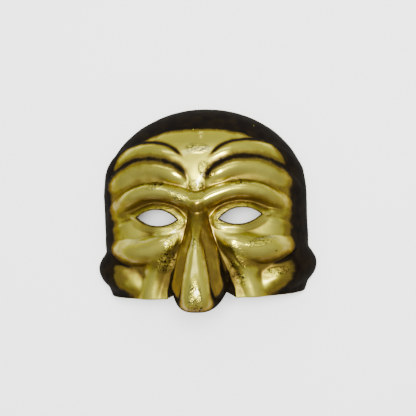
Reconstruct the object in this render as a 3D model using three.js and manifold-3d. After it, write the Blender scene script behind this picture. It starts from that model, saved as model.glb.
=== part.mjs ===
// A pulcinella half mask: one thin moulded shell with a domed forehead, arched furrows, full cheeks
// and a long hooked nose. Millimetres, +Z up. It lies face up on its rim, as it does when put down:
// x runs across the face, y from the lip edge to the crown, z out of the face.
import * as THREE from 'three';
import { mergeVertices } from 'three/addons/utils/BufferGeometryUtils.js';
import Module from 'manifold-3d';

// Shell, measured from the middle of the face, with z = 0 at the rim
const HALF_WIDTH = 86; // at the temples
const CORNER_TUCK = 6; // how far the lower corners draw in
const CORNER_Y = -52; // where they start to
const CORNER_SPAN = 24; // and over what height
const DOME_RISE = 72; // from the temple line up to the crown
const TEMPLE_Y = 16; // the line where the straight sides turn into the dome
const LIP_Y = -67; // the lower edge of the cheeks
const DEPTH = 68; // rim to forehead
const CHEEK_DEPTH = 59; // rim to upper lip
const CHEEK_FALL = 85; // height over which the depth falls to that
const FULLNESS = 2.35; // 2 would be a plain ellipse, more is boxier
const WALL = 2.2;

// Eye holes, each an almond of two arcs
const EYE_X = 34;
const EYE_Y = -1;
const EYE_LENGTH = 35;
const EYE_UPPER = 7.7;
const EYE_LOWER = 6.3;
const EYE_SLANT = 4; // degrees, outer corner up

// Nose: its ridge from the lip edge round the tip to the root, as (y, z), and its foot on the face,
// as (y, half width)
const NOSE_RIDGE = [
  [-58, 50], [-58, 60], [-62, 70], [-69, 79], [-74, 89], [-73, 99], [-64, 105.5],
  [-51, 104.5], [-36, 98.5], [-20, 89.5], [-7, 80.5], [4, 72.5], [TEMPLE_Y, DEPTH],
];
const NOSE_FOOT = [
  [LIP_Y, 29], [-60, 28.5], [-48, 24.5], [-34, 18.5], [-18, 13], [-4, 9.5], [8, 8], [TEMPLE_Y, 8.5],
];
const NOSE_SPREAD = 16; // how far the nose columns of the grid fan out over the forehead

// Nose section: bulging at the tip, sharper towards the bridge, flattening out at the root and the lip.
// Shares run along the ridge, 0 at the lip edge and 1 at the root.
const BULB_ROUND = { by: 0.32, at: 0.34, width: 0.24 };
const BULB_LIFT = { by: 0.42, at: 0.28, width: 0.2 };
const BRIDGE_SHARP = { by: 0.3, from: 0.45, over: 0.4 };
const ROOT_FADE = 0.4;
const LIP_FADE = 0.16;
const ROOT_BLEND = { from: 0.72, over: 0.26 }; // where the face's carving takes over along the ridge
const FOOT_BLEND = { from: 0.4, over: 0.6 }; // and across from the ridge, 0, to the foot, 1
const LIP_PLAIN = 15; // mm up the nose over which its own forms set in

// Grid of the shell
const COLUMNS = 50;
const ROWS = 44;
const NOSE_SHARE = 0.24; // share of the columns that runs over the nose
const FACE_SHARE = 0.58; // share of the rows below the temple line
const FOOT_ANGLE = (0.97 * 2) / Math.PI; // from a share of the width to a share of the arch
const SIDE_SPREAD = 1.15; // above 1, columns stand closer beside the nose than at the rim
const DOME_SPREAD = 1.3; // above 1, rows stand closer at the temple line than at the crown
const CREASE_ROUND = 1.2; // mm of height over which two folds run together
const MIDLINE_ROUND = 2.6; // rounds the crease where the two sides of the face meet
const SAMPLES = [-1.5, 0, 1.5]; // mm, where the relief is sampled around each point
const STROKE_STEPS = 32;
const RIDGE_STEPS = 240;
const RIM_CLEAR = 0.3; // the least height of what isn't the rim
const SOFTEN_ROUNDS = 6; // for the inside, so that its sharp corners don't fold over
const EYE_ARC_STEPS = 12;
const WELD = 1e-4; // vertices closer than this are one

const GOLD = 0xb2a450;

const clamp01 = (t) => Math.min(Math.max(t, 0), 1);

function smooth(t) {
  const s = clamp01(t);
  return s * s * (3 - 2 * s);
}

// The value at x of a line through [x, value] points, in rising x
function along(points, x) {
  const last = points.length - 1;
  if (x <= points[0][0]) return points[0][1];
  for (let i = 1; i <= last; i++) {
    const [x0, value0] = points[i - 1];
    const [x1, value1] = points[i];
    if (x <= x1) return value0 + ((value1 - value0) * (x - x0)) / (x1 - x0);
  }
  return points[last][1];
}

// A fold's centre line on the face, as a curve of four control points
function stroke(controls) {
  const [a, b, c, d] = controls.map(([x, y]) => new THREE.Vector2(x, y));
  return new THREE.CubicBezierCurve(a, b, c, d).getPoints(STROKE_STEPS);
}

// Where (x, y) lies beside a stroke: the share along it, and the distance, positive on its left
function beside(line, x, y) {
  let best = Infinity;
  let share = 0;
  let distance = 0;
  for (let i = 0; i < line.length - 1; i++) {
    const dx = line[i + 1].x - line[i].x;
    const dy = line[i + 1].y - line[i].y;
    const px = x - line[i].x;
    const py = y - line[i].y;
    const s = clamp01((px * dx + py * dy) / (dx * dx + dy * dy));
    const away = Math.hypot(px - s * dx, py - s * dy);
    if (away < best) {
      best = away;
      share = (i + s) / (line.length - 1);
      distance = Math.sign(dx * (py - s * dy) - dy * (px - s * dx)) * away;
    }
  }
  return { share, distance };
}

const taper = (share, [start, end]) => smooth(share / start) * smooth((1 - share) / end);

// A rounded fold along a stroke. A low power on a side makes that side steep.
function roll({ controls, height, left, right, powers = [1, 1], ends = [0.25, 0.25], narrow = 0.45 }) {
  const line = stroke(controls);
  return (x, y) => {
    const { share, distance } = beside(line, x, y);
    const full = taper(share, ends);
    const onLeft = distance > 0;
    const reach = (onLeft ? left : right) * (narrow + (1 - narrow) * full);
    const round = clamp01(1 - (distance / reach) ** 2);
    return height * full * round ** (onLeft ? powers[0] : powers[1]);
  };
}

// A furrow along a stroke
function groove({ controls, depth, reach, ends = [0.3, 0.3] }) {
  const line = stroke(controls);
  return (x, y) => {
    const { share, distance } = beside(line, x, y);
    return -depth * taper(share, ends) * Math.exp(-(Math.abs(distance / reach) ** 1.5));
  };
}

// The squared distance from an ellipse's centre, 1 on its edge
function ellipse(x, y, cx, cy, rx, ry, turn = 0) {
  const angle = THREE.MathUtils.degToRad(turn);
  const dx = x - cx;
  const dy = y - cy;
  const p = Math.cos(angle) * dx + Math.sin(angle) * dy;
  const q = Math.cos(angle) * dy - Math.sin(angle) * dx;
  return (p / rx) ** 2 + (q / ry) ** 2;
}

// A soft swelling over an ellipse, or a hollow where its height is negative
function swell({ height, x: cx, y: cy, rx, ry, turn = 0 }, x, y) {
  return height * Math.exp(-ellipse(x, y, cx, cy, rx, ry, turn));
}

// A rounded cap that ends at the ellipse's edge
function cap({ height, x: cx, y: cy, rx, ry, turn }, x, y) {
  return height * clamp01(1 - ellipse(x, y, cx, cy, rx, ry, turn)) ** 0.9;
}

// The larger of two heights, with the crease between them rounded
function blendMax(a, b) {
  const h = clamp01(0.5 + (0.5 * (a - b)) / CREASE_ROUND);
  return b + (a - b) * h + CREASE_ROUND * h * (1 - h);
}

// Arched folds and pads of one side of the face. The other side mirrors it.
const FOLDS = [
  // brow ridge
  roll({
    controls: [[-14, 10], [14, 6], [38, 46], [90, -12]],
    height: 8.5, left: 9, right: 8, powers: [0.8, 0.7], ends: [0.01, 0.3], narrow: 0.6,
  }),
  // lower forehead fold
  roll({
    controls: [[3, 23], [26, 46], [58, 54], [92, 4]],
    height: 5, left: 7, right: 9, powers: [0.6, 1.1], ends: [0.24, 0.3], narrow: 0.35,
  }),
  // upper forehead fold
  roll({
    controls: [[5, 41], [30, 62], [64, 64], [94, 18]],
    height: 4, left: 6, right: 9.5, powers: [0.55, 1.2], ends: [0.28, 0.3], narrow: 0.3,
  }),
  // pouch of the cheek
  roll({
    controls: [[14, -8], [27, -22], [54, -42], [90, -16]],
    height: 8, left: 13, right: 12, powers: [1.3, 0.65], ends: [0.3, 0.35], narrow: 0.35,
  }),
  // fold from the nose down to the lip
  roll({
    controls: [[11, -2], [17, -20], [38, -26], [45, -76]],
    height: 4.5, left: 12, right: 9, powers: [1.3, 1], ends: [0.4, 0.02], narrow: 0.4,
  }),
  // jowl, which flares out at the lower corner
  roll({
    controls: [[38, -63], [56, -57], [76, -45], [98, -41]],
    height: 7.5, left: 15, right: 15, powers: [1.5, 1.2], ends: [0.55, 0.01], narrow: 0.5,
  }),
  // crow's-feet
  roll({
    controls: [[50, 0.5], [60, 3], [72, 2], [86, -6]],
    height: 2.2, left: 3.2, right: 3.6, powers: [0.8, 1], ends: [0.15, 0.4],
  }),
  roll({
    controls: [[52, -3], [62, -5], [72, -9], [84, -18]],
    height: 1.6, left: 3, right: 3, powers: [0.9, 1], ends: [0.2, 0.4],
  }),
];
const SCOWL = groove({
  controls: [[4.5, 12], [6, 20], [8, 26], [7, 36]], depth: 1.8, reach: 2.2, ends: [0.35, 0.5],
});

const SOCKET = { height: -9.5, x: EYE_X, y: 3, rx: 27, ry: 17, turn: 6 };
const LID = { height: 5.5, x: EYE_X, y: EYE_Y, rx: 25, ry: 13, turn: EYE_SLANT };
const CHEEK_HOLLOW = { height: -2.5, x: 50, y: -47, rx: 22, ry: 11, turn: 16 };
const FOREHEAD = { height: 1.5, x: 0, y: 58, rx: 26, ry: 18 };

// How far the carving stands out of the plain shell at (x, y)
function faceRelief(x, y) {
  const a = Math.hypot(x, MIDLINE_ROUND);
  const folds = FOLDS.reduce((height, fold) => blendMax(height, fold(a, y)), 0);
  const broad = swell(SOCKET, a, y) + swell(CHEEK_HOLLOW, a, y) + swell(FOREHEAD, x, y);
  return broad + cap(LID, a, y) + folds + SCOWL(a, y);
}

// Forms cut into the nose itself: s mm out from its ridge, r mm up from the lip edge
const DROP_EDGE = groove({
  controls: [[7, 128], [15, 106], [42, 88], [35, 20]], depth: 2.5, reach: 3.8, ends: [0.25, 0.2],
});
const NOSTRIL_WING = roll({
  controls: [[30, 100], [46, 88], [58, 54], [47, 18]],
  height: 2.8, left: 9, right: 8, ends: [0.35, 0.35], narrow: 0.5,
});

const BRIDGE_HUMP = { height: 1.6, x: 0, y: 116, rx: 7, ry: 13 };
const NOSTRIL = { height: -4.5, x: 20, y: 27, rx: 8, ry: 9 };

function noseRelief(s, r) {
  const forms = DROP_EDGE(s, r) + NOSTRIL_WING(s, r) + swell(BRIDGE_HUMP, s, r) + swell(NOSTRIL, s, r);
  return forms * smooth(r / LIP_PLAIN);
}

// Distance of a superellipse from its centre, for radii of 1
function superellipse(angle) {
  const p = Math.abs(Math.sin(angle)) ** FULLNESS + Math.abs(Math.cos(angle)) ** FULLNESS;
  return p ** (-1 / FULLNESS);
}

const halfWidth = (y) => HALF_WIDTH - CORNER_TUCK * smooth((CORNER_Y - y) / CORNER_SPAN);
const shellDepth = (y) => DEPTH - (DEPTH - CHEEK_DEPTH) * smooth((TEMPLE_Y - y) / CHEEK_FALL);

const ridge = new THREE.SplineCurve(NOSE_RIDGE.map(([y, z]) => new THREE.Vector2(y, z)));
const ridgePoints = ridge.getSpacedPoints(RIDGE_STEPS);
const ridgeLength = ridge.getLength();

function ridgeAt(t) {
  const place = clamp01(t) * RIDGE_STEPS;
  const i = Math.min(Math.floor(place), RIDGE_STEPS - 1);
  return ridgePoints[i].clone().lerp(ridgePoints[i + 1], place - i);
}

// A point of the plain shell, for u from -1 to 1 across and v from 0 at the lip to 1 at the crown.
// Below the temple line each row is one arch from rim to rim. Above it the rows close into a dome.
function plainShell(u, v) {
  const side = u < 0 ? -1 : 1;
  const k = Math.abs(u);
  const below = v < FACE_SHARE;
  const t = clamp01(v / FACE_SHARE);
  const climb = clamp01((v - FACE_SHARE) / (1 - FACE_SHARE)) ** DOME_SPREAD;
  const rowY = LIP_Y + (TEMPLE_Y - LIP_Y) * t;
  const width = halfWidth(rowY);
  const depth = shellDepth(rowY);
  const foot = along(NOSE_FOOT, rowY) + NOSE_SPREAD * smooth(climb);
  const footShare = (foot / width) * FOOT_ANGLE;
  const onNose = k < NOSE_SHARE;
  const c = clamp01(k / NOSE_SHARE);
  const far = clamp01((k - NOSE_SHARE) / (1 - NOSE_SHARE)) ** SIDE_SPREAD;
  const across = onNose ? footShare * c : footShare + (1 - footShare) * far;

  let reach = across;
  let ax = 1;
  let ay = 0;
  if (!below) {
    // a half square mapped onto a half disc
    ax = across * Math.sqrt(1 - climb ** 2 / 2);
    ay = climb * Math.sqrt(1 - across ** 2 / 2);
    const radius = Math.hypot(ax, ay);
    if (radius > 0) {
      ax /= radius;
      ay /= radius;
    }
    reach = Math.min(radius, 1);
  }
  const angle = (reach * Math.PI) / 2;
  const size = superellipse(angle);
  const flat = Math.sin(angle) * size;
  const height = depth * Math.cos(angle) * size;
  const point = new THREE.Vector3(width * flat * ax, rowY + DOME_RISE * flat * ay, height);
  const steep = Math.sin(angle) ** (FULLNESS - 1);
  const outward = new THREE.Vector3(
    (steep * ax) / HALF_WIDTH,
    (steep * ay) / DOME_RISE,
    Math.abs(Math.cos(angle)) ** (FULLNESS - 1) / DEPTH,
  ).normalize();

  let girth = 0;
  if (onNose && below) {
    const footAngle = (footShare * Math.PI) / 2;
    const footX = width * Math.sin(footAngle) * superellipse(footAngle);
    const footZ = depth * Math.cos(footAngle) * superellipse(footAngle);
    const top = ridgeAt(t);
    noseSection(point, c, t, top, footX, rowY, footZ);
    const rise = Math.hypot(top.x - rowY, top.y - footZ);
    girth = (Math.PI / 2) * Math.hypot(footX, rise) * Math.SQRT1_2;
  }
  point.x *= side;
  outward.x *= side;
  return { point, outward, onNose: onNose && below, c, t, rowY, girth };
}

// Each row over the nose is a half arch from its foot on the cheek to its ridge
function noseSection(point, c, t, top, footX, rowY, footZ) {
  const angle = (c * Math.PI) / 2;
  const bell = ({ by, at, width }) => by * Math.exp(-(((t - at) / width) ** 2));
  const rounded = smooth((1 - t) / ROOT_FADE) * smooth(t / LIP_FADE);
  const blunt = 1 - bell(BULB_ROUND);
  const sharp = BRIDGE_SHARP.by * smooth((t - BRIDGE_SHARP.from) / BRIDGE_SHARP.over);
  const lift = Math.cos(angle) ** (1 + sharp - bell(BULB_LIFT));
  point.x = footX * ((1 - rounded) * c + rounded * Math.sin(angle) ** blunt);
  point.y = top.x * lift + rowY * (1 - lift);
  point.z = top.y * lift + footZ * (1 - lift);
}

// The relief averaged over about a cell of the grid, so that slanting folds don't come out stepped
function averageRelief(x, y) {
  let sum = 0;
  for (const dx of SAMPLES) {
    for (const dy of SAMPLES) sum += faceRelief(x + dx, y + dy);
  }
  return sum / SAMPLES.length ** 2;
}

// The carving at a point of the plain shell. On the nose only its foot and its root take part.
function reliefAt({ point, onNose, c, t, rowY }) {
  if (!onNose) return averageRelief(point.x, point.y);
  const root = smooth((t - ROOT_BLEND.from) / ROOT_BLEND.over);
  const nearFoot = smooth((c - FOOT_BLEND.from) / FOOT_BLEND.over);
  const foot = averageRelief(along(NOSE_FOOT, rowY), rowY) * nearFoot;
  return foot * (1 - root) + averageRelief(point.x, point.y) * root;
}

const vertex = (i, j) => i * (ROWS + 1) + j;

function eachVertex(action) {
  for (let i = 0; i <= COLUMNS; i++) {
    for (let j = 0; j <= ROWS; j++) action(i, j);
  }
}

// The outward normals of a grid of points
function gridNormals(points) {
  const normals = [];
  eachVertex((i, j) => {
    const across = points[vertex(Math.min(i + 1, COLUMNS), j)].clone();
    across.sub(points[vertex(Math.max(i - 1, 0), j)]);
    const up = points[vertex(i, Math.min(j + 1, ROWS))].clone();
    up.sub(points[vertex(i, Math.max(j - 1, 0))]);
    normals[vertex(i, j)] = across.cross(up).normalize();
  });
  return normals;
}

// Each normal mixed with its neighbours'
function softened(normals) {
  const result = [];
  eachVertex((i, j) => {
    const mixed = normals[vertex(i, j)].clone();
    if (i > 0 && i < COLUMNS) {
      mixed.addScaledVector(normals[vertex(i - 1, j)], 0.5);
      mixed.addScaledVector(normals[vertex(i + 1, j)], 0.5);
    }
    if (j > 0 && j < ROWS) {
      mixed.addScaledVector(normals[vertex(i, j - 1)], 0.5);
      mixed.addScaledVector(normals[vertex(i, j + 1)], 0.5);
    }
    result[vertex(i, j)] = mixed.normalize();
  });
  return result;
}

// Side and crown edges lie on the table, the lip edge doesn't, and nothing reaches below
function layRimFlat(points) {
  eachVertex((i, j) => {
    const onRim = i === 0 || i === COLUMNS || j === ROWS;
    const point = points[vertex(i, j)];
    point.z = onRim ? 0 : Math.max(point.z, RIM_CLEAR);
  });
}

function outerPoints() {
  const samples = [];
  const points = [];
  eachVertex((i, j) => {
    const sample = plainShell((2 * i) / COLUMNS - 1, j / ROWS);
    samples[vertex(i, j)] = sample;
    points[vertex(i, j)] = sample.point.clone().addScaledVector(sample.outward, reliefAt(sample));
  });
  const normals = gridNormals(points);
  samples.forEach((sample, n) => {
    if (!sample.onNose) return;
    const { c, t, girth } = sample;
    points[n].addScaledVector(normals[n], noseRelief(c * girth, t * ridgeLength));
  });
  layRimFlat(points);
  return points;
}

function innerPoints(outer) {
  let normals = gridNormals(outer);
  for (let round = 0; round < SOFTEN_ROUNDS; round++) normals = softened(normals);
  const points = outer.map((point, n) => point.clone().addScaledVector(normals[n], -WALL));
  layRimFlat(points);
  return points;
}

// The closed shell before its eyes are cut
function shellGeometry() {
  const outer = outerPoints();
  const points = [...outer, ...innerPoints(outer)];
  const faces = [];
  const quad = (a, b, c, d) => faces.push(a, b, c, a, c, d);
  const inside = (n) => n + outer.length;
  for (let i = 0; i < COLUMNS; i++) {
    for (let j = 0; j < ROWS; j++) {
      const a = vertex(i, j);
      const b = vertex(i + 1, j);
      const c = vertex(i + 1, j + 1);
      const d = vertex(i, j + 1);
      quad(a, b, c, d);
      quad(inside(d), inside(c), inside(b), inside(a));
    }
  }
  const edge = (a, b) => quad(b, a, inside(a), inside(b));
  for (let i = 0; i < COLUMNS; i++) {
    edge(vertex(i, 0), vertex(i + 1, 0));
    edge(vertex(i + 1, ROWS), vertex(i, ROWS));
  }
  for (let j = 0; j < ROWS; j++) {
    edge(vertex(0, j + 1), vertex(0, j));
    edge(vertex(COLUMNS, j), vertex(COLUMNS, j + 1));
  }
  const geometry = new THREE.BufferGeometry().setFromPoints(points);
  geometry.setIndex(faces);
  return geometry;
}

// The punch that cuts one eye hole
function eyePunch(side) {
  const half = EYE_LENGTH / 2;
  const upper = (half ** 2 + EYE_UPPER ** 2) / (2 * EYE_UPPER);
  const lower = (half ** 2 + EYE_LOWER ** 2) / (2 * EYE_LOWER);
  const upperSpan = Math.asin(half / upper);
  const lowerSpan = Math.asin(half / lower);
  const down = -Math.PI / 2;
  const shape = new THREE.Shape();
  shape.absarc(0, lower - EYE_LOWER, lower, down - lowerSpan, down + lowerSpan, false);
  shape.absarc(0, EYE_UPPER - upper, upper, -down - upperSpan, -down + upperSpan, false);
  const extent = { depth: DEPTH, bevelEnabled: false, curveSegments: EYE_ARC_STEPS };
  const geometry = new THREE.ExtrudeGeometry(shape, extent);
  geometry.rotateZ(side * THREE.MathUtils.degToRad(EYE_SLANT));
  geometry.translate(side * EYE_X, EYE_Y, DEPTH / 3);
  return geometry;
}

const wasm = await Module();
wasm.setup();

function solid(geometry) {
  const bare = geometry.clone();
  bare.deleteAttribute('normal');
  bare.deleteAttribute('uv');
  const merged = mergeVertices(bare, WELD);
  return new wasm.Manifold(new wasm.Mesh({
    numProp: 3,
    vertProperties: Float32Array.from(merged.attributes.position.array),
    triVerts: Uint32Array.from(merged.index.array),
  }));
}

function geometryOf(manifold) {
  const { vertProperties, triVerts } = manifold.getMesh();
  const geometry = new THREE.BufferGeometry();
  geometry.setAttribute('position', new THREE.BufferAttribute(Float32Array.from(vertProperties), 3));
  geometry.setIndex(new THREE.BufferAttribute(Uint32Array.from(triVerts), 1));
  geometry.computeVertexNormals();
  return geometry;
}

function maskShell() {
  let shell = solid(shellGeometry());
  for (const side of [-1, 1]) shell = shell.subtract(solid(eyePunch(side)));
  const geometry = geometryOf(shell);
  // the middle of its length and width comes over the origin
  geometry.computeBoundingBox();
  const middle = geometry.boundingBox.getCenter(new THREE.Vector3());
  geometry.translate(-middle.x, -middle.y, 0);
  const satinGold = new THREE.MeshStandardMaterial({ color: GOLD, roughness: 0.4, metalness: 0.9 });
  const mesh = new THREE.Mesh(geometry, satinGold);
  mesh.name = 'mask_shell';
  return mesh;
}

const mask = new THREE.Group();
mask.add(maskShell());

export default mask;
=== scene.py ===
"""Dresses the pulcinella half mask: smooth carving, metallic gold lacquer, and painted dark reflection and
shade.
"""
import math

import bpy
import numpy as np
from mathutils import Matrix, Vector, noise


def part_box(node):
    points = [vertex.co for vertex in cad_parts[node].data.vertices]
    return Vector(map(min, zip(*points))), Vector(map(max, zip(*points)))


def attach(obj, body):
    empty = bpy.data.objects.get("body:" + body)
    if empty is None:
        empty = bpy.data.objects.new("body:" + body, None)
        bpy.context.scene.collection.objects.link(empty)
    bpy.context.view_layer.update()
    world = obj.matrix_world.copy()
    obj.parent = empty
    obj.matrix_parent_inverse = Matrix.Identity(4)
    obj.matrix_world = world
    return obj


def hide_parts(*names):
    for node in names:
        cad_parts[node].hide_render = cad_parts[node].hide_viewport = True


bl_info = {
    "name": "Pulcinella half mask",
    "version": (1, 0, 0),
    "blender": (4, 5, 0),
    "location": "3D View > Sidebar > Mask",
    "description": "Builds the finely carved shell of a half mask, its lacquer and a small studio",
    "category": "Add Mesh",
}

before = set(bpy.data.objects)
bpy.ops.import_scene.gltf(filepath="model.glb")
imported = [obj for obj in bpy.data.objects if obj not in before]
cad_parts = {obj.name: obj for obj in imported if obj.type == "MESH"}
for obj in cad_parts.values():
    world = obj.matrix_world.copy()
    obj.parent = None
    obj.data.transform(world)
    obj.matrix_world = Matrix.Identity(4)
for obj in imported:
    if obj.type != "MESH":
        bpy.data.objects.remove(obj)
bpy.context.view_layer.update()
NODE = "mask_shell"

MM = 0.001
TINY = 1e-9
LENGTH = dict(subtype="DISTANCE", unit="LENGTH")

# Shell in face millimetres: x across the face from its middle, y up it, z out of it from the rim.
# Ramps, here and below, rise from 0 at start to 1 at start + over, and over may be negative.
CORNER_TUCK = 6.0  # how far the lower corners draw in
CORNER_BELOW = dict(start=-52, over=-24)  # where they start to, and over what height
CHEEK_DROP = 9.0  # how much less deep the lip edge is than the forehead
CHEEK_FALL = 85  # height over which the depth falls by that
TEMPLE_Y = 16.0  # the line where the straight sides turn into the dome
LIP_Y = -67.0  # the lower edge of the cheeks
RIM_CLEAR = 0.3  # the least height of what isn't the rim

# Eye holes, each an almond of two arcs, whose heights are shares of its length
EYE_Y = -1.0
EYE_UPPER = 0.22
EYE_LOWER = 0.18

# Grid of the shell
NOSE_SHARE = 0.24  # share of the columns that runs over the nose
FACE_SHARE = 0.58  # share of the rows below the temple line
SIDE_SPREAD = 1.15  # above 1, columns stand closer beside the nose than at the rim
DOME_SPREAD = 1.3  # above 1, rows stand closer at the temple line than at the crown
NOSE_SPREAD = 16.0  # how far the nose's columns fan out over the forehead
FOOT_ANGLE = 0.97 * 2 / math.pi  # from a share of the width to a share of the arch

# Ridge of the nose from the lip edge round the tip to the root, as (y, z), and its foot on the face,
# as (y, half width)
NOSE_RIDGE = (
    (-58, 50), (-58, 60), (-62, 70), (-69, 79), (-74, 89), (-73, 99), (-64, 105.5),
    (-51, 104.5), (-36, 98.5), (-20, 89.5), (-7, 80.5), (4, 72.5), (TEMPLE_Y, 68),
)
NOSE_FOOT = (
    (LIP_Y, 29), (-60, 28.5), (-48, 24.5), (-34, 18.5), (-18, 13), (-4, 9.5), (8, 8), (TEMPLE_Y, 8.5),
)
RIDGE_STEPS = 400

# Nose section: bulging at the tip, sharper towards the bridge, flattening out at the root and the lip.
# Shares run along the ridge, 0 at the lip edge and 1 at the root.
BULB_ROUND = dict(by=0.32, at=0.34, width=0.24)
BULB_LIFT = dict(by=0.42, at=0.28, width=0.2)
SHARPNESS = 0.3
BRIDGE_SHARP = dict(start=0.45, over=0.4)
ROOT_FADE = 0.4
LIP_FADE = 0.16

ROOT_BLEND = dict(start=0.72, over=0.26)  # where the face's carving takes over along the ridge
FOOT_BLEND = dict(start=0.4, over=0.6)  # and across from the ridge, 0, to the foot, 1
LIP_PLAIN = 15  # mm up the nose over which its own forms set in

# Folds of one side of the face. Each follows a stroke of four control points, left and right of which
# it reaches so far. A low power makes that side steep. Its ends fade over a share of the stroke, and
# get as narrow as stated.
FOLDS = {
    "brow ridge": dict(
        controls=((-14, 10), (14, 6), (38, 46), (90, -12)),
        height=8.5, reaches=(9, 8), powers=(0.8, 0.7), ends=(0.01, 0.3), narrow=0.6,
    ),
    "lower forehead": dict(
        controls=((3, 23), (26, 46), (58, 54), (92, 4)),
        height=5.0, reaches=(7, 9), powers=(0.6, 1.1), ends=(0.24, 0.3), narrow=0.35,
    ),
    "upper forehead": dict(
        controls=((5, 41), (30, 62), (64, 64), (94, 18)),
        height=4.0, reaches=(6, 9.5), powers=(0.55, 1.2), ends=(0.28, 0.3), narrow=0.3,
    ),
    "cheek pouch": dict(
        controls=((14, -8), (27, -22), (54, -42), (90, -16)),
        height=8.0, reaches=(13, 12), powers=(1.3, 0.65), ends=(0.3, 0.35), narrow=0.35,
    ),
    "nose to lip": dict(
        controls=((11, -2), (17, -20), (38, -26), (45, -76)),
        height=4.5, reaches=(12, 9), powers=(1.3, 1), ends=(0.4, 0.02), narrow=0.4,
    ),
    "jowl": dict(
        controls=((38, -63), (56, -57), (76, -45), (98, -41)),
        height=7.5, reaches=(15, 15), powers=(1.5, 1.2), ends=(0.55, 0.01), narrow=0.5,
    ),
    "upper crow's-foot": dict(
        controls=((50, 0.5), (60, 3), (72, 2), (86, -6)),
        height=2.2, reaches=(3.2, 3.6), powers=(0.8, 1), ends=(0.15, 0.4), narrow=0.45,
    ),
    "lower crow's-foot": dict(
        controls=((52, -3), (62, -5), (72, -9), (84, -18)),
        height=1.6, reaches=(3, 3), powers=(0.9, 1), ends=(0.2, 0.4), narrow=0.45,
    ),
}
FURROWS = {
    "scowl": dict(
        controls=((4.5, 12), (6, 20), (8, 26), (7, 36)), depth=1.8, reach=2.2, ends=(0.35, 0.5),
    ),
    "temple line": dict(
        controls=((50, 26), (64, 22), (74, 8), (78, -6)), depth=0.5, reach=0.9, ends=(0.4, 0.4),
    ),
}
FURROW_POWER = 1.5  # 2 would be a soft bell, less is sharper at the bottom
CREASE_ROUND = 1.2  # mm of height over which two folds run together
MIDLINE_ROUND = 2.6  # rounds the crease where the two sides of the face meet
SOCKET = dict(height=-9.5, centre=(34, 3), radii=(27, 17), turn=6)
CHEEK_HOLLOW = dict(height=-2.5, centre=(50, -47), radii=(22, 11), turn=16)
FOREHEAD = dict(height=1.5, centre=(0, 58), radii=(26, 18))
LID = dict(height=5.5, centre=(34, EYE_Y), radii=(25, 13), turn=4)
LID_POWER = 0.9  # 1 would be a parabola, less is fuller

# Forms cut into the nose: mm out from its ridge, and mm up from the lip edge
DROP_EDGE = dict(
    controls=((7, 128), (15, 106), (42, 88), (35, 20)), depth=2.5, reach=3.8, ends=(0.25, 0.2),
)
NOSTRIL_WING = dict(
    controls=((30, 100), (46, 88), (58, 54), (47, 18)),
    height=2.8, reaches=(9, 8), powers=(1, 1), ends=(0.35, 0.35), narrow=0.5,
)
BRIDGE_HUMP = dict(height=1.6, centre=(0, 116), radii=(7, 13))
NOSTRIL = dict(height=-4.5, centre=(20, 27), radii=(8, 9))

# Fine relief that only shows close by: a rolled edge round each eye hole, a crease above it that
# fades below the eye's middle and past its outer corner, a nub, and waves as (height, length)
LID_ROLL = dict(height=1.4, width=2.6)
LID_CREASE = dict(depth=1.5, above=6.5, width=1.5)
CREASE_FROM = dict(start=EYE_Y - 3, over=6)
CREASE_TO = dict(start=58, over=-12)
NUB = dict(height=1.1, centre=(4, 66), radii=(1.5, 1.5))
UNEVENNESS = ((0.22, 15), (0.10, 6))

# Inside: the outside moved in along smoothed normals, straight down near the eye holes
INNER_ROUNDS = 90
BESIDE_EYE = dict(start=6, over=-5)
MOST_SLANTED = 0.6  # least cosine of the slant that the wall makes up for

# Borders of the grid, moved onto the almonds of the eye holes and closed with a rounded edge
SNAP_ROUNDS = 4
SNAP_WIDTH = 0.05  # mm over which the way to the almond is measured
EDGE_STEPS = 4
EDGE_BULGE = 0.55  # as a share of half the wall

# Painted dark reflection and shade on the steep sides round the rim: how high above the rim its border lies
# at the sides, over the crown and at the low corners, how much it climbs in the hollows of the cheeks, and
# over what height it fades
RIM_DARK_REFLECTION = dict(side=43, crown=53, corner=49, climb=10, side_fade=19, crown_fade=6)
ABOVE_TEMPLES = dict(start=TEMPLE_Y, over=50)
CROWN_HALF_WIDTH = 42
CHEEK_SIDE = dict(start=45, over=20)
ABOVE_JOWL = dict(start=-60, over=30)
LOW_CORNER = dict(start=-30, over=-25)

# Painted shade in the crease along the upper (1) or lower (-1) edge of a fold, so wide, so dark
SHADE_LINES = (
    ("upper forehead", 1, 1.8, 0.95),
    ("lower forehead", 1, 4.2, 0.85),
    ("brow ridge", 1, 2.4, 0.35),
    ("brow ridge", -1, 5.0, 0.5),
    ("cheek pouch", -1, 5.5, 0.5),
    ("jowl", 1, 4.0, 0.6),
    ("lower crow's-foot", 1, 1.8, 0.4),
)
LINE_FADE = 1.6  # above 1, a line is at its darkest before its fold is at its highest

# Painted shade on the nose and how dark it is: along the drop edge, on the flank behind that edge, under
# the tip, and on the steep flank below the tip
NOSE_SHADE = dict(line=0.7, flank=0.4, underside=0.85, low_flank=0.85)
DROP_LINE = dict(width=2.2, ends=(0.4, 0.2))
BEHIND_EDGE = dict(start=-1.5, over=5)
BELOW_ROOT = dict(start=150, over=-30)
UNDERSIDE = dict(start=58, over=-9)
LOW_FLANK = dict(start=84, over=-16)

# Thin brown painted shade at the root of the nose and beside it: centre, radii and turn on one side of the
# face, and how dark. Hollows and slopes get painted shade too, by the mm below the surroundings and by the
# slope, 0 facing up and 1 upright.
SHADE_PATCHES = (
    ((0, 0), (12, 17), 0, 0.42),
    ((29, -50), (8, 20), 12, 0.42),
)
HOLLOW_SHADE = 0.3
SLOPE_SHADE = 0.34
HOLLOW = dict(start=0, over=2.0)
SLOPE = dict(start=0.2, over=0.35)
NOSE_SLOPE = dict(start=0.35, over=0.35)

# Dark dots at the pinholes, painted shade along the eye holes' edges, and gold left clear of all the dark
# at the rim's foot, in mm
PINHOLES = ((62, -30), (-13, -62))
PINHOLE_RADIUS = 0.8
EYE_EDGE_SHADE = 0.8
BARE_EDGE = dict(start=1.2, over=2.0)
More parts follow.
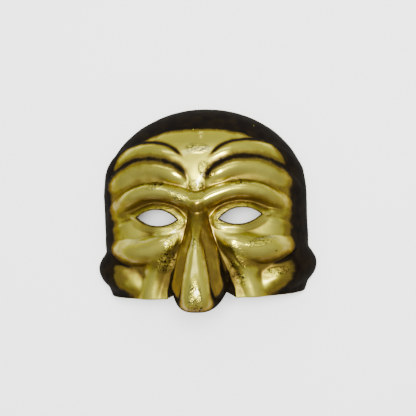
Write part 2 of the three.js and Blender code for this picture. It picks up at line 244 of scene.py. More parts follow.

# Painted warm shade, amber over the gold: on slopes, most of all those that face the lip edge, in hollows
# and on the flanks of the nose
WARM_SHADE_SLOPE = dict(start=0, over=0.8)
WARM_SHADE_FACING_LIP = 0.45
WARM_SHADE_HOLLOW = 0.6
WARM_SHADE_FLANK = 0.5

# Crests rubbed smooth: by the mm above the surroundings, but not where they are steep
CREST = dict(start=0, over=-1.2)
NOT_STEEP = dict(start=0.25, over=-0.2)

# Rounds of smoothing that give a point's surroundings, and the slope about it
LIE_ROUNDS = 60
SLOPE_ROUNDS = 6

# Patches where the lacquer wrinkled and came off in specks: centre, radii and turn on the face
WORN_PATCHES = (
    ((1, 55), (11, 4), 0),
    ((8, 37), (6, 9), 25),
    ((-2, 25), (9, 5), 0),
    ((-33, 26), (9, 3.5), 14),
    ((34, 27), (12, 3), -6),
    ((-15, 17), (11, 3.5), -24),
    ((-27, -36), (9, 12), -40),
    ((30, -47), (6, 15), 24),
    ((62, -47), (13, 4), 6),
    ((50, -22), (13, 4), 8),
)
NOSE_PATCHES = (((0, 62), (10, 22), 0), ((0, 112), (9, 8), 0))

# Patches where it only wrinkled
CRINKLED_PATCHES = (
    ((-30, 9), (16, 5), 0),
    ((31, 9), (17, 6), 6),
    ((-16, -4), (6, 9), 0),
    ((17, -3), (6, 9), 0),
    ((-22, -20), (5, 12), -30),
    ((34, -34), (5, 16), 30),
)
PATCH_EDGE = 1.5  # above 1, a patch is at its strongest before its middle

# The two materials of the mesh, by slot
LACQUER = 0
BARE = 1
PALER = 1.9  # flow lines of the bare moulding, against the plastic between them

# Studio: places and sizes in metres, power in watts, and the dome from horizon to overhead
SOFTBOXES = (
    dict(name="camera_softbox", place=(0.10, 0.10, 1.25), size=(0.3, 0.46), power=42),
    dict(name="crown_softbox", place=(-0.1, 0.9, 1.0), size=(1.5, 0.3), power=7),
)
LAMP_AIM = (0, 0, 40 * MM)
DOME = dict(horizon=0.35, zenith=1.35)
FLOOR_HALF = 6.0
SENSOR_WIDTH = 36.0


class MaskShape(bpy.types.PropertyGroup):
    """Main sizes of the shell."""

    half_width: bpy.props.FloatProperty(
        name="Half width", description="Half the width across the temples",
        default=86 * MM, min=0.05, max=0.15, **LENGTH,
    )
    dome_rise: bpy.props.FloatProperty(
        name="Dome rise", description="From the temple line up to the crown",
        default=72 * MM, min=0.04, max=0.12, **LENGTH,
    )
    depth: bpy.props.FloatProperty(
        name="Depth", description="From the rim to the forehead",
        default=68 * MM, min=0.03, max=0.12, **LENGTH,
    )
    fullness: bpy.props.FloatProperty(
        name="Fullness", description="2 is a plain ellipse, more is boxier", default=2.35, min=2.0, max=4.0,
    )
    wall: bpy.props.FloatProperty(
        name="Wall", description="Thickness of the moulding",
        default=2.2 * MM, min=0.0005, max=0.01, **LENGTH,
    )
    eye_offset: bpy.props.FloatProperty(
        name="Eye offset", description="From the middle of the face to the middle of an eye hole",
        default=34 * MM, min=0.02, max=0.05, **LENGTH,
    )
    eye_length: bpy.props.FloatProperty(
        name="Eye length", description="Corner to corner of an eye hole",
        default=35 * MM, min=0.01, max=0.06, **LENGTH,
    )
    eye_slant: bpy.props.FloatProperty(
        name="Eye slant", description="How far the outer corner is turned up",
        default=math.radians(4), min=-0.5, max=0.5, subtype="ANGLE",
    )
    columns: bpy.props.IntProperty(
        name="Columns", description="Faces across the shell", default=236, min=40,
    )
    rows: bpy.props.IntProperty(name="Rows", description="Faces from lip to crown", default=190, min=40)


def hex_value(name, what, default):
    """A colour that the user types as an sRGB hex value."""
    return bpy.props.StringProperty(name=name, description=f"{what}, as an sRGB hex value", default=default)


class MaskFinish(bpy.types.PropertyGroup):
    """Colours of the finish and of its painted shade."""

    gold: hex_value("Gold", "Lacquer", "#A39C2C")
    # amber is painted warm shade on slopes, in hollows and on the nose's flanks
    amber: hex_value("Amber", "Lacquer where it runs thick and warm", "#7A6222")
    # near black of the painted dark reflection at the rim and the painted shade in the furrows, and of the
    # ground in the specks
    painted_shade_and_specks: hex_value("Glaze", "Dark glaze at rim and furrows", "#0B0806")
    # brown of the thin painted shade beside the dark
    brown: hex_value("Brown", "Thin stain of the glaze", "#5F4D20")
    edge: hex_value("Edge", "Tint of the gloss at grazing angles", "#A09C56")
    inside: hex_value("Inside", "Bare moulding inside", "#1B1815")


class MaskStudio(bpy.types.PropertyGroup):
    """Camera and floor."""

    turn: bpy.props.FloatProperty(
        name="Turn", description="How far the camera stands to the mask's right of straight above",
        default=math.radians(6), subtype="ANGLE",
    )
    pitch: bpy.props.FloatProperty(
        name="Pitch", description="How far the camera stands towards the crown",
        default=math.radians(2), subtype="ANGLE",
    )
    roll: bpy.props.FloatProperty(
        name="Roll", description="Turn of the picture, anticlockwise",
        default=math.radians(2.0), subtype="ANGLE",
    )
    distance: bpy.props.FloatProperty(
        name="Distance", description="From the camera to the mask", default=1.0, **LENGTH,
    )
    aim: bpy.props.FloatVectorProperty(
        name="Aim", description="The point that comes to the middle of the picture",
        default=(6 * MM, -1.5 * MM, 40 * MM), size=3, subtype="XYZ", unit="LENGTH",
    )
    lens: bpy.props.FloatProperty(name="Lens", description="Focal length in mm", default=104.8)
    floor: hex_value("Floor", "Paper", "#FBFBF9")


def smooth(t):
    t = np.clip(t, 0, 1)
    return t * t * (3 - 2 * t)


def ramp(x, start, over):
    """Rises smoothly from 0 at start to 1 at start + over."""
    return smooth((x - start) / over)


def bump(t):
    return np.exp(-t * t)


def bell(t, by, at, width):
    return by * bump((t - at) / width)


def mix(a, b, share):
    return a * (1 - share) + b * share


def turned(dx, dy, degrees):
    """An offset, measured along and across axes that are turned so far."""
    angle = math.radians(degrees)
    return math.cos(angle) * dx + math.sin(angle) * dy, math.cos(angle) * dy - math.sin(angle) * dx


def stroke(controls, steps=64):
    """The points of a curve with four control points."""
    a, b, c, d = (np.array(p, float) for p in controls)
    t = np.linspace(0, 1, steps)[:, None]
    return (1 - t) ** 3 * a + 3 * (1 - t) ** 2 * t * b + 3 * (1 - t) * t**2 * c + t**3 * d


def beside(line, x, y):
    """The share along a stroke, and the distance from it, positive on its left."""
    best = np.full(x.shape, np.inf)
    share = np.zeros(x.shape)
    distance = np.zeros(x.shape)
    for i, (start, end) in enumerate(zip(line[:-1], line[1:])):
        dx, dy = end - start
        px, py = x - start[0], y - start[1]
        s = np.clip((px * dx + py * dy) / (dx * dx + dy * dy), 0, 1)
        away = np.hypot(px - s * dx, py - s * dy)
        nearer = away < best
        best = np.where(nearer, away, best)
        share = np.where(nearer, (i + s) / (len(line) - 1), share)
        side = np.sign(dx * (py - s * dy) - dy * (px - s * dx))
        distance = np.where(nearer, side * away, distance)
    return share, distance


def taper(share, ends):
    return smooth(share / ends[0]) * smooth((1 - share) / ends[1])


def roll(x, y, controls, height, reaches, powers, ends, narrow):
    """A rounded fold along a stroke. A low power on a side makes that side steep."""
    share, distance = beside(stroke(controls), x, y)
    full = taper(share, ends)
    left = distance > 0
    reach = np.where(left, *reaches) * mix(narrow, 1, full)
    return height * full * np.clip(1 - (distance / reach) ** 2, 0, 1) ** np.where(left, *powers)


def fold_edge(x, y, side, width, controls, reaches, ends, narrow, **_):
    """1 on one edge of a fold, fading out over the width and towards the fold's ends."""
    share, distance = beside(stroke(controls), x, y)
    full = taper(share, ends)
    reach = reaches[0 if side > 0 else 1] * mix(narrow, 1, full)
    return bump((side * distance - reach) / width) * smooth(LINE_FADE * full)


def groove(x, y, controls, depth, reach, ends):
    """A furrow along a stroke."""
    share, distance = beside(stroke(controls), x, y)
    return -depth * taper(share, ends) * np.exp(-np.abs(distance / reach) ** FURROW_POWER)


def ellipse(x, y, centre, radii, turn=0.0):
    """The squared distance from an ellipse's centre, 1 on its edge."""
    p, q = turned(x - centre[0], y - centre[1], turn)
    return (p / radii[0]) ** 2 + (q / radii[1]) ** 2


def swell(x, y, height, **form):
    """A soft swelling over an ellipse, or a hollow where its height is negative."""
    return height * np.exp(-ellipse(x, y, **form))


def cap(x, y, height, **form):
    """A rounded cap that ends at the ellipse's edge."""
    return height * np.clip(1 - ellipse(x, y, **form), 0, 1) ** LID_POWER


def blend_max(a, b):
    """The larger of two heights, with the crease between them rounded."""
    h = np.clip(0.5 + 0.5 * (a - b) / CREASE_ROUND, 0, 1)
    return mix(b, a, h) + CREASE_ROUND * h * (1 - h)


def uneven(points):
    """The slight waviness of a hand-finished mould."""
    result = np.zeros(points.shape[:-1])
    for place in np.ndindex(result.shape):
        at = Vector(points[place])
        result[place] = sum(height * noise.noise(at / wave) for height, wave in UNEVENNESS)
    return result


def along(points, x):
    """The value at x of a line through (x, value) points."""
    known = np.array(points, float)
    return np.interp(x, known[:, 0], known[:, 1])


def catmull_rom(points, count, steps=24):
    """A smooth curve through the points, resampled evenly by length, and its length."""
    p = np.array(points, float)
    p = np.vstack([2 * p[0] - p[1], p, 2 * p[-1] - p[-2]])
    s = np.linspace(0, 1, steps, endpoint=False)[:, None]
    pieces = []
    for a, b, c, d in zip(p, p[1:], p[2:], p[3:]):
        cubic = 2 * b + (c - a) * s + (2 * a - 5 * b + 4 * c - d) * s**2 + (3 * b - a - 3 * c + d) * s**3
        pieces.append(0.5 * cubic)
    line = np.vstack(pieces + [p[-2]])
    length = np.concatenate([[0], np.cumsum(np.linalg.norm(np.diff(line, axis=0), axis=1))])
    even = np.linspace(0, length[-1], count)
    return np.stack([np.interp(even, length, line[:, k]) for k in range(2)], axis=1), length[-1]


def unit(vectors):
    return vectors / np.maximum(np.linalg.norm(vectors, axis=-1, keepdims=True), TINY)


def grid_normals(points):
    return unit(np.cross(np.gradient(points, axis=0), np.gradient(points, axis=1)))


def corners(grid):
    """The values at the four corners of each cell of a grid, in order round the cell."""
    return np.stack([grid[:-1, :-1], grid[1:, :-1], grid[1:, 1:], grid[:-1, 1:]], axis=-1)


def spread(values, rounds):
    """A grid's values, each mixed with its neighbours' so many times."""
    for _ in range(rounds):
        mixed = values.copy()
        mixed[1:-1] = 0.5 * values[1:-1] + 0.25 * (values[2:] + values[:-2])
        values = mixed.copy()
        values[:, 1:-1] = 0.5 * mixed[:, 1:-1] + 0.25 * (mixed[:, 2:] + mixed[:, :-2])
    return values


def lie(points):
    """How far each point of a grid lies below its surroundings, in mm."""
    return ((spread(points, LIE_ROUNDS) - points) * grid_normals(points)).sum(axis=-1)


class Carving:
    """The mask's surface in face millimetres, on a grid of columns (u) and rows (v)."""

    def __init__(self, shape):
        self.half_width = shape.half_width / MM
        self.dome_rise = shape.dome_rise / MM
        self.depth = shape.depth / MM
        self.fullness = shape.fullness
        self.wall = shape.wall / MM
        self.eye_x = shape.eye_offset / MM
        self.eye_half = shape.eye_length / MM / 2
        self.eye_upper = EYE_UPPER * shape.eye_length / MM
        self.eye_lower = EYE_LOWER * shape.eye_length / MM
        self.eye_slant = math.degrees(shape.eye_slant)

        u = np.linspace(-1, 1, shape.columns + 1)
        v = np.linspace(0, 1, shape.rows + 1)
        self.u, self.v = np.meshgrid(u, v, indexing="ij")
        self.up_face = np.clip(self.v / FACE_SHARE, 0, 1)
        self.row_y = mix(LIP_Y, TEMPLE_Y, self.up_face)
        self.nose = (np.abs(self.u) < NOSE_SHARE) & (self.v < FACE_SHARE)
        self.from_ridge = np.clip(np.abs(self.u) / NOSE_SHARE, 0, 1)
        self.ridge, ridge_length = catmull_rom(NOSE_RIDGE, RIDGE_STEPS)
        self.up_ridge = self.up_face * ridge_length

    def eye_gap(self, x, y):
        """Distance from the edge of the nearer eye hole, negative inside it."""
        p, q = turned(np.abs(x) - self.eye_x, y - EYE_Y, self.eye_slant)
        upper = (self.eye_half**2 + self.eye_upper**2) / (2 * self.eye_upper)
        lower = (self.eye_half**2 + self.eye_lower**2) / (2 * self.eye_lower)
        above = np.hypot(p, q + upper - self.eye_upper) - upper
        below = np.hypot(p, q - lower + self.eye_lower) - lower
        return np.maximum(above, below)

    def face_relief(self, x, y):
        """How far the carving stands out of the plain shell."""
        a = np.hypot(x, MIDLINE_ROUND)
        folds = np.zeros(x.shape)
        for fold in FOLDS.values():
            folds = blend_max(folds, roll(a, y, **fold))
        furrows = sum(groove(a, y, **furrow) for furrow in FURROWS.values())
        broad = swell(a, y, **SOCKET) + swell(a, y, **CHEEK_HOLLOW) + swell(x, y, **FOREHEAD)
        gap = self.eye_gap(x, y)
        above_eye = ramp(y, **CREASE_FROM) * ramp(a, **CREASE_TO)
        lid = cap(a, y, **LID) + LID_ROLL["height"] * bump(gap / LID_ROLL["width"])
        lid -= LID_CREASE["depth"] * bump((gap - LID_CREASE["above"]) / LID_CREASE["width"]) * above_eye
        return broad + lid + folds + furrows

    def nose_relief(self, s, r):
        """Forms cut into the nose: s mm out from its ridge, r mm up from the lip edge."""
        forms = groove(s, r, **DROP_EDGE) + roll(s, r, **NOSTRIL_WING)
        forms += swell(s, r, **BRIDGE_HUMP) + swell(s, r, **NOSTRIL)
        return forms * smooth(r / LIP_PLAIN)

    def round_off(self, angle):
        """Distance of a superellipse from its centre, for radii of 1."""
        p = np.abs(np.sin(angle)) ** self.fullness + np.abs(np.cos(angle)) ** self.fullness
        return p ** (-1 / self.fullness)

    def plain(self):
        """The shell before its carving, and the way out of it. Below the temple line each row is one
        arch from rim to rim. Above it the rows close into a dome."""
        k = np.abs(self.u)
        below = self.v < FACE_SHARE
        rise = np.clip((self.v - FACE_SHARE) / (1 - FACE_SHARE), 0, 1) ** DOME_SPREAD
        width = self.half_width - CORNER_TUCK * ramp(self.row_y, **CORNER_BELOW)
        depth = self.depth - CHEEK_DROP * ramp(self.row_y, TEMPLE_Y, -CHEEK_FALL)
        foot = along(NOSE_FOOT, self.row_y) + NOSE_SPREAD * smooth(rise)
        foot_share = foot / width * FOOT_ANGLE
        far = np.clip((k - NOSE_SHARE) / (1 - NOSE_SHARE), 0, 1) ** SIDE_SPREAD
        across = np.where(k < NOSE_SHARE, foot_share * self.from_ridge, mix(foot_share, 1, far))

        # a half square mapped onto a half disc makes the dome
        ax = across * np.sqrt(1 - rise**2 / 2)
        ay = rise * np.sqrt(1 - across**2 / 2)
        reach = np.maximum(np.hypot(ax, ay), TINY)
        ax, ay = np.where(below, 1, ax / reach), np.where(below, 0, ay / reach)
        angle = np.where(below, across, np.minimum(reach, 1)) * math.pi / 2
        size = self.round_off(angle)
        flat = np.sin(angle) * size
        dome = (width * flat * ax, self.row_y + self.dome_rise * flat * ay, depth * np.cos(angle) * size)
        steep = np.sin(angle) ** (self.fullness - 1)
        blunt = np.abs(np.cos(angle)) ** (self.fullness - 1)
        out = (steep * ax / self.half_width, steep * ay / self.dome_rise, blunt / self.depth)

        foot_angle = foot_share * math.pi / 2
        foot_x = width * np.sin(foot_angle) * self.round_off(foot_angle)
        foot_z = depth * np.cos(foot_angle) * self.round_off(foot_angle)
        nose = self.nose_section(foot_x, foot_z)
        x, y, z = (np.where(self.nose, there, here) for there, here in zip(nose, dome))
        side = np.where(self.u < 0, -1, 1)
        return np.stack([x * side, y, z], axis=-1), unit(np.stack([out[0] * side, *out[1:]], axis=-1))

    def nose_section(self, foot_x, foot_z):
        """Each row over the nose is a half arch from its foot on the cheek to its ridge."""
        t = self.up_face
        share = np.linspace(0, 1, RIDGE_STEPS)
        top_y, top_z = (np.interp(t, share, self.ridge[:, k]) for k in range(2))
        angle = self.from_ridge * math.pi / 2
        rounded = smooth((1 - t) / ROOT_FADE) * smooth(t / LIP_FADE)
        sharp = SHARPNESS * ramp(t, **BRIDGE_SHARP)
        lift = np.cos(angle) ** (1 + sharp - bell(t, **BULB_LIFT))
        x = foot_x * mix(self.from_ridge, np.sin(angle) ** (1 - bell(t, **BULB_ROUND)), rounded)
        rise = np.hypot(top_y - self.row_y, top_z - foot_z)
        girth = math.pi / 2 * np.hypot(foot_x, rise) * math.sqrt(0.5)  # of a quarter ellipse, about
        self.beside_ridge = self.from_ridge * girth
        return x, mix(self.row_y, top_y, lift), mix(foot_z, top_z, lift)

    def outer(self):
        points, out = self.plain()
        at_point = self.face_relief(points[..., 0], points[..., 1])
        at_foot = self.face_relief(along(NOSE_FOOT, self.row_y), self.row_y)
        at_foot *= ramp(self.from_ridge, **FOOT_BLEND)
        on_nose = mix(at_foot, at_point, ramp(self.up_face, **ROOT_BLEND))
        points = points + out * np.where(self.nose, on_nose, at_point)[..., None]
        fine = np.where(self.nose, self.nose_relief(self.beside_ridge, self.up_ridge), 0)
        fine += swell(points[..., 0], points[..., 1], **NUB) + uneven(points)
        return self.rim_laid_flat(points + grid_normals(points) * fine[..., None])

    def inner(self, outer):
        """The outside moved in by the wall, straight down beside the eyes to give each hole one outline."""
        normals = unit(spread(grid_normals(outer), INNER_ROUNDS))
        beside_eye = ramp(self.eye_gap(outer[..., 0], outer[..., 1]), **BESIDE_EYE)[..., None]
        way = unit(mix(normals, np.array([0.0, 0.0, 1.0]), beside_eye))
        through = np.clip((way * normals).sum(axis=-1, keepdims=True), MOST_SLANTED, 1)
        return self.rim_laid_flat(outer - way * self.wall / through)

    def rim_laid_flat(self, points):
        """Side and crown edges lie on the table, and nothing reaches below it."""
        rim = (np.abs(self.u) >= 1) | (self.v >= 1)
        points[..., 2] = np.where(rim, 0, np.maximum(points[..., 2], RIM_CLEAR))
        return points


def hex_colour(text):
    """An sRGB hex value as linear red, green, blue and alpha."""
    values = [int(text[i:i + 2], 16) / 255 for i in (1, 3, 5)]
    return tuple(v / 12.92 if v <= 0.04045 else ((v + 0.055) / 1.055) ** 2.4 for v in values) + (1.0,)


def add_node(tree, kind, inputs=None, **settings):
    """Adds a node with its settings. An input gets a value, a socket, or a node for its first output."""
    node = tree.nodes.new(kind)
    for name, value in settings.items():
        setattr(node, name, value)
    for name, value in (inputs or {}).items():
        if isinstance(value, bpy.types.Node):
            value = value.outputs[0]
        if isinstance(value, bpy.types.NodeSocket):
            tree.links.new(value, node.inputs[name])
        else:
            node.inputs[name].default_value = value
    return node


def new_material(name):
    """A material, its emptied tree, and the place on the object that its patterns follow."""
    material = bpy.data.materials.new(name)
    material.use_nodes = True
    tree = material.node_tree
    tree.nodes.clear()
    return material, tree, add_node(tree, "ShaderNodeTexCoord").outputs["Object"]


def spacing(millimetres):
    """The scale of a pattern whose forms stand so far apart."""
    return 1 / (millimetres * MM)


def gold_lacquer(finish):
    """Metallic gold lacquer sprayed on moulded plastic under a clear gloss coat: a satin, slightly
    greenish metal that shines on its crests, with painted amber shade on its flanks and painted dark
    reflection and shade, matt and near black, at the rim and in the furrows."""
    material, tree, place = new_material("metallic_gold_lacquer")
    gold, amber, brown, dark = map(hex_colour, (finish.gold, finish.amber, finish.brown, finish.painted_shade_and_specks))
    # the first two attributes are painted dark shade and painted warm shade
    painted_shade_and_specks, warm_shade, worn, crinkled, rubbed = (
        add_node(tree, "ShaderNodeAttribute", attribute_name=name).outputs["Fac"]
        for name in ("painted_shade_and_specks", "warm_shade", "worn", "crinkled", "rubbed")
    )

    # clouds in the spray, 9 mm apart, and streaks 1.2 mm apart that fray the border of the painted shade
    cloud = add_node(tree, "ShaderNodeTexNoise", {"Vector": place, "Scale": spacing(9), "Detail": 3.0})
    streak_noise = add_node(tree, "ShaderNodeTexNoise", {"Vector": place, "Scale": spacing(1.2), "Detail": 2.0})
    drift = add_node(tree, "ShaderNodeMapRange", {
        "Value": cloud, "From Min": 0.3, "From Max": 0.7, "To Min": -0.13, "To Max": 0.13,
    })
    fray = add_node(tree, "ShaderNodeMapRange", {"Value": streak_noise, "To Min": -0.06, "To Max": 0.06})
    ragged = add_node(tree, "ShaderNodeMath", {0: painted_shade_and_specks, 1: drift}, operation="ADD")
    ragged = add_node(tree, "ShaderNodeMath", {0: ragged, 1: fray}, operation="ADD")
    full_shade = add_node(
        tree, "ShaderNodeMapRange", {"Value": ragged, "From Min": 0.35, "From Max": 0.85},
        interpolation_type="SMOOTHSTEP",
    )
    thin_shade = add_node(
        tree, "ShaderNodeMapRange", {"Value": ragged, "From Min": 0.06, "From Max": 0.5, "To Max": 0.9},
        interpolation_type="SMOOTHSTEP",
    )

    # lacquer runs from gold to amber in painted warm shade, then painted dark shade and reflection over it
    # from thin brown to full cover
    warm_shading = add_node(tree, "ShaderNodeMath", {0: warm_shade, 1: drift}, operation="ADD", use_clamp=True)
    tone = add_node(tree, "ShaderNodeMix", {0: warm_shading, 6: gold, 7: amber}, data_type="RGBA")
    thinly_shaded = add_node(tree, "ShaderNodeMix", {0: thin_shade, 6: tone.outputs[2], 7: brown}, data_type="RGBA")
    streaks = add_node(tree, "ShaderNodeMapRange", {
        "Value": cloud, "From Min": 0.4, "From Max": 0.8, "To Max": 0.05,
    })
    shade_colour = add_node(tree, "ShaderNodeMix", {0: streaks, 6: dark, 7: brown}, data_type="RGBA")
    with_painted_shade = add_node(
        tree, "ShaderNodeMix", {0: full_shade, 6: thinly_shaded.outputs[2], 7: shade_colour.outputs[2]},
        data_type="RGBA",
    )

    # where the lacquer wrinkled, specks 1.7 mm apart came off and show the dark ground
    grit = add_node(tree, "ShaderNodeTexNoise", {"Vector": place, "Scale": spacing(1.7), "Detail": 4.0})
    patchy = add_node(tree, "ShaderNodeTexNoise", {"Vector": place, "Scale": spacing(5), "Detail": 2.0})
    patchy = add_node(tree, "ShaderNodeMapRange", {"Value": patchy, "From Min": 0.3, "From Max": 0.6})
    wrinkled = add_node(tree, "ShaderNodeMath", {0: worn, 1: patchy}, operation="MULTIPLY")
    speck = add_node(tree, "ShaderNodeMapRange", {"Value": grit, "From Min": 0.46, "From Max": 0.58})
    speck = add_node(tree, "ShaderNodeMath", {0: speck, 1: wrinkled}, operation="MULTIPLY")
    specked = add_node(tree, "ShaderNodeMix", {0: speck, 6: with_painted_shade.outputs[2], 7: dark}, data_type="RGBA")

    # grains of gold dust, up to 1 mm wide, few and far apart, that show most on the painted dark
    dust = add_node(tree, "ShaderNodeTexVoronoi", {"Vector": place, "Scale": spacing(14)}, feature="F1")
    dust = add_node(tree, "ShaderNodeMapRange", {
        "Value": dust, "From Min": 0.025, "From Max": 0.04, "To Min": 1.0, "To Max": 0.0,
    })
    dusted = add_node(tree, "ShaderNodeMix", {0: dust, 6: specked.outputs[2], 7: gold}, data_type="RGBA")

    # orange peel of sprayed lacquer, 3 mm waves, and the crinkles of the wrinkled patches, 1.8 mm
    peel = add_node(tree, "ShaderNodeTexNoise", {"Vector": place, "Scale": spacing(3), "Detail": 1.0})
    smooth_peel = add_node(tree, "ShaderNodeMath", {0: peel, 1: 0.1}, operation="MULTIPLY")
    folds = add_node(tree, "ShaderNodeTexNoise", {
        "Vector": place, "Scale": spacing(1.8), "Distortion": 1.5,
    })
    folds = add_node(tree, "ShaderNodeMath", {0: folds, 1: grit}, operation="ADD")
    crust = add_node(
        tree, "ShaderNodeMath", {0: folds, 1: crinkled, 2: smooth_peel}, operation="MULTIPLY_ADD",
    )
    normal = add_node(tree, "ShaderNodeBump", {"Height": crust, "Strength": 0.8, "Distance": 0.6 * MM})

    # crests are rubbed smoother than the rest, and full painted shade takes away metal and gloss alike
    rough = add_node(tree, "ShaderNodeMapRange", {"Value": cloud, "To Min": 0.34, "To Max": 0.5})
    rough = add_node(tree, "ShaderNodeMath", {0: rubbed, 1: -0.2, 2: rough}, operation="MULTIPLY_ADD")
    metal = add_node(tree, "ShaderNodeMapRange", {"Value": full_shade, "To Min": 1.0, "To Max": 0.0})
    coat = add_node(tree, "ShaderNodeMapRange", {
        "Value": ragged, "From Max": 0.35, "To Min": 0.9, "To Max": 0.02,
    })
    shader = add_node(tree, "ShaderNodeBsdfPrincipled", {
        "Base Color": dusted.outputs[2], "Metallic": metal, "Roughness": rough, "Normal": normal,
        "Specular IOR Level": 0.0, "Specular Tint": hex_colour(finish.edge),
        "Coat Weight": coat, "Coat Roughness": 0.05,
    })
    add_node(tree, "ShaderNodeOutputMaterial", {"Surface": shader})
    return material


def bare_moulding(finish):
    """Bare moulded plastic of the inside and the cut edges: near black, satin, with the faint flow
    of the sheet over the mould."""
    material, tree, place = new_material("dark_moulded_plastic")
    dark = hex_colour(finish.inside)
    pale = tuple(min(1.0, c * PALER) for c in dark[:3]) + (1.0,)

    # flow lines 12 mm apart, and the grain of the mould, drawn as coarse as 0.9 mm so that it shows
    flow = add_node(tree, "ShaderNodeTexNoise", {"Vector": place, "Scale": spacing(12), "Detail": 3.0})
    grain = add_node(tree, "ShaderNodeTexNoise", {"Vector": place, "Scale": spacing(0.9), "Detail": 2.0})
    streak = add_node(tree, "ShaderNodeMapRange", {"Value": flow, "From Min": 0.3, "From Max": 0.75})
    colour = add_node(tree, "ShaderNodeMix", {0: streak, 6: dark, 7: pale}, data_type="RGBA")
    relief = add_node(tree, "ShaderNodeMath", {0: grain, 1: 0.3, 2: flow}, operation="MULTIPLY_ADD")
    normal = add_node(tree, "ShaderNodeBump", {"Height": relief, "Strength": 0.4, "Distance": 0.3 * MM})
    rough = add_node(tree, "ShaderNodeMapRange", {"Value": grain, "To Min": 0.34, "To Max": 0.52})
    shader = add_node(tree, "ShaderNodeBsdfPrincipled", {
        "Base Color": colour.outputs[2], "Roughness": rough, "Normal": normal,
    })
    add_node(tree, "ShaderNodeOutputMaterial", {"Surface": shader})
    return material


def paper(colour):
    """Matt photographer's paper, pale and even."""
    material, tree, place = new_material("backdrop_paper")
    # fibres, drawn as coarse as 2 mm so that they show
    fibre = add_node(tree, "ShaderNodeTexNoise", {"Vector": place, "Scale": spacing(2), "Detail": 3.0})
    normal = add_node(tree, "ShaderNodeBump", {"Height": fibre, "Strength": 0.05, "Distance": 0.1 * MM})
    shader = add_node(tree, "ShaderNodeBsdfPrincipled", {
        "Base Color": hex_colour(colour), "Roughness": 0.9, "Normal": normal,
    })
    add_node(tree, "ShaderNodeOutputMaterial", {"Surface": shader})
    return material


def rim_dark_reflection(x, y, z, hollow):
    """The painted dark reflection round the rim, up to a border that is soft at the sides and sharp over
    the crown.
    """
    crown = ramp(y, **ABOVE_TEMPLES)
    in_cheek = hollow * (1 - crown) * ramp(np.abs(x), **CHEEK_SIDE) * ramp(y, **ABOVE_JOWL)
    level = mix(RIM_DARK_REFLECTION["side"], RIM_DARK_REFLECTION["crown"], crown * bump(x / CROWN_HALF_WIDTH))
    level += RIM_DARK_REFLECTION["climb"] * in_cheek
    level += (RIM_DARK_REFLECTION["corner"] - RIM_DARK_REFLECTION["side"]) * ramp(y, **LOW_CORNER)
    fade = mix(RIM_DARK_REFLECTION["side_fade"], RIM_DARK_REFLECTION["crown_fade"], crown)
    return ramp(z, level + fade / 2, -fade)


def nose_flank(carving):
    """1 on the flanks of the nose behind its drop edges, and the line of painted shade along those edges.
    """
    s, r = carving.beside_ridge, carving.up_ridge
    share, distance = beside(stroke(DROP_EDGE["controls"]), s, r)
    line = bump(distance / DROP_LINE["width"]) * taper(share, DROP_LINE["ends"])
    return ramp(distance, **BEHIND_EDGE) * ramp(r, **BELOW_ROOT), line


def painted_shade_map(carving, points, hollow, steep, flank, line):
    """How dark the painted shade lies, from the painted dark reflection at the rim and the painted shade in
    the furrows to the thin brown beside them.
    """
    x, y, z = points[..., 0], points[..., 1], points[..., 2]
    a, r = np.abs(x), carving.up_ridge
    painted_shade_and_specks = rim_dark_reflection(x, y, z, hollow)
    for name, side, width, darkness in SHADE_LINES:
        painted_shade_and_specks = np.maximum(painted_shade_and_specks, darkness * fold_edge(a, y, side, width, **FOLDS[name]))
    on_nose = np.maximum(NOSE_SHADE["line"] * line, NOSE_SHADE["flank"] * flank)
    on_nose = np.maximum(on_nose, NOSE_SHADE["underside"] * ramp(r, **UNDERSIDE))
    painted_shade_and_specks = np.where(carving.nose, on_nose, painted_shade_and_specks)
    for centre, radii, turn, darkness in SHADE_PATCHES:
        painted_shade_and_specks = np.maximum(painted_shade_and_specks, darkness * np.exp(-ellipse(a, y, centre, radii, turn) ** 2))
    low_flank = carving.nose * ramp(steep, **NOSE_SLOPE) * ramp(r, **LOW_FLANK)
    layers = [
        HOLLOW_SHADE * hollow,
        SLOPE_SHADE * ramp(steep, **SLOPE),
        NOSE_SHADE["low_flank"] * low_flank,
        bump(np.maximum(carving.eye_gap(x, y), 0) / EYE_EDGE_SHADE),
    ]
    layers += [bump(np.hypot(x - px, y - py) / PINHOLE_RADIUS) for px, py in PINHOLES]
    return np.maximum.reduce([painted_shade_and_specks] + layers) * ramp(z, **BARE_EDGE)


def patches(forms, x, y):
    """1 inside any of the ellipses, fading out at its edge."""
    return np.maximum.reduce([smooth(PATCH_EDGE * (1 - ellipse(x, y, *form))) for form in forms])


def finish_maps(carving, points):
    """Painted dark shade, painted warm shade and wear of the lacquer, from 0 to 1 at each point of the
    outside.
    """
    x, y, nose = points[..., 0], points[..., 1], carving.nose
    below = lie(points)
    hollow = ramp(below, **HOLLOW)
    normals = spread(grid_normals(points), SLOPE_ROUNDS)
    steep = 1 - normals[..., 2]
    flank, line = nose_flank(carving)
    # painted warm shade: on slopes, most where they face the lip, in hollows and on the nose's flanks
    warm_shade = ramp(steep - WARM_SHADE_FACING_LIP * normals[..., 1], **WARM_SHADE_SLOPE)
    warm_shade += WARM_SHADE_HOLLOW * hollow + WARM_SHADE_FLANK * nose * flank
    on_nose = patches(NOSE_PATCHES, carving.beside_ridge, carving.up_ridge)
    worn = np.where(nose, on_nose, patches(WORN_PATCHES, x, y))
    return {
        "painted_shade_and_specks": painted_shade_map(carving, points, hollow, steep, flank, line),
        "warm_shade": np.clip(warm_shade, 0, 1),
        "worn": worn,
        "crinkled": np.maximum(worn, patches(CRINKLED_PATCHES, x, y) * ~nose),
        "rubbed": ramp(below, **CREST) * ramp(steep, **NOT_STEEP),
    }


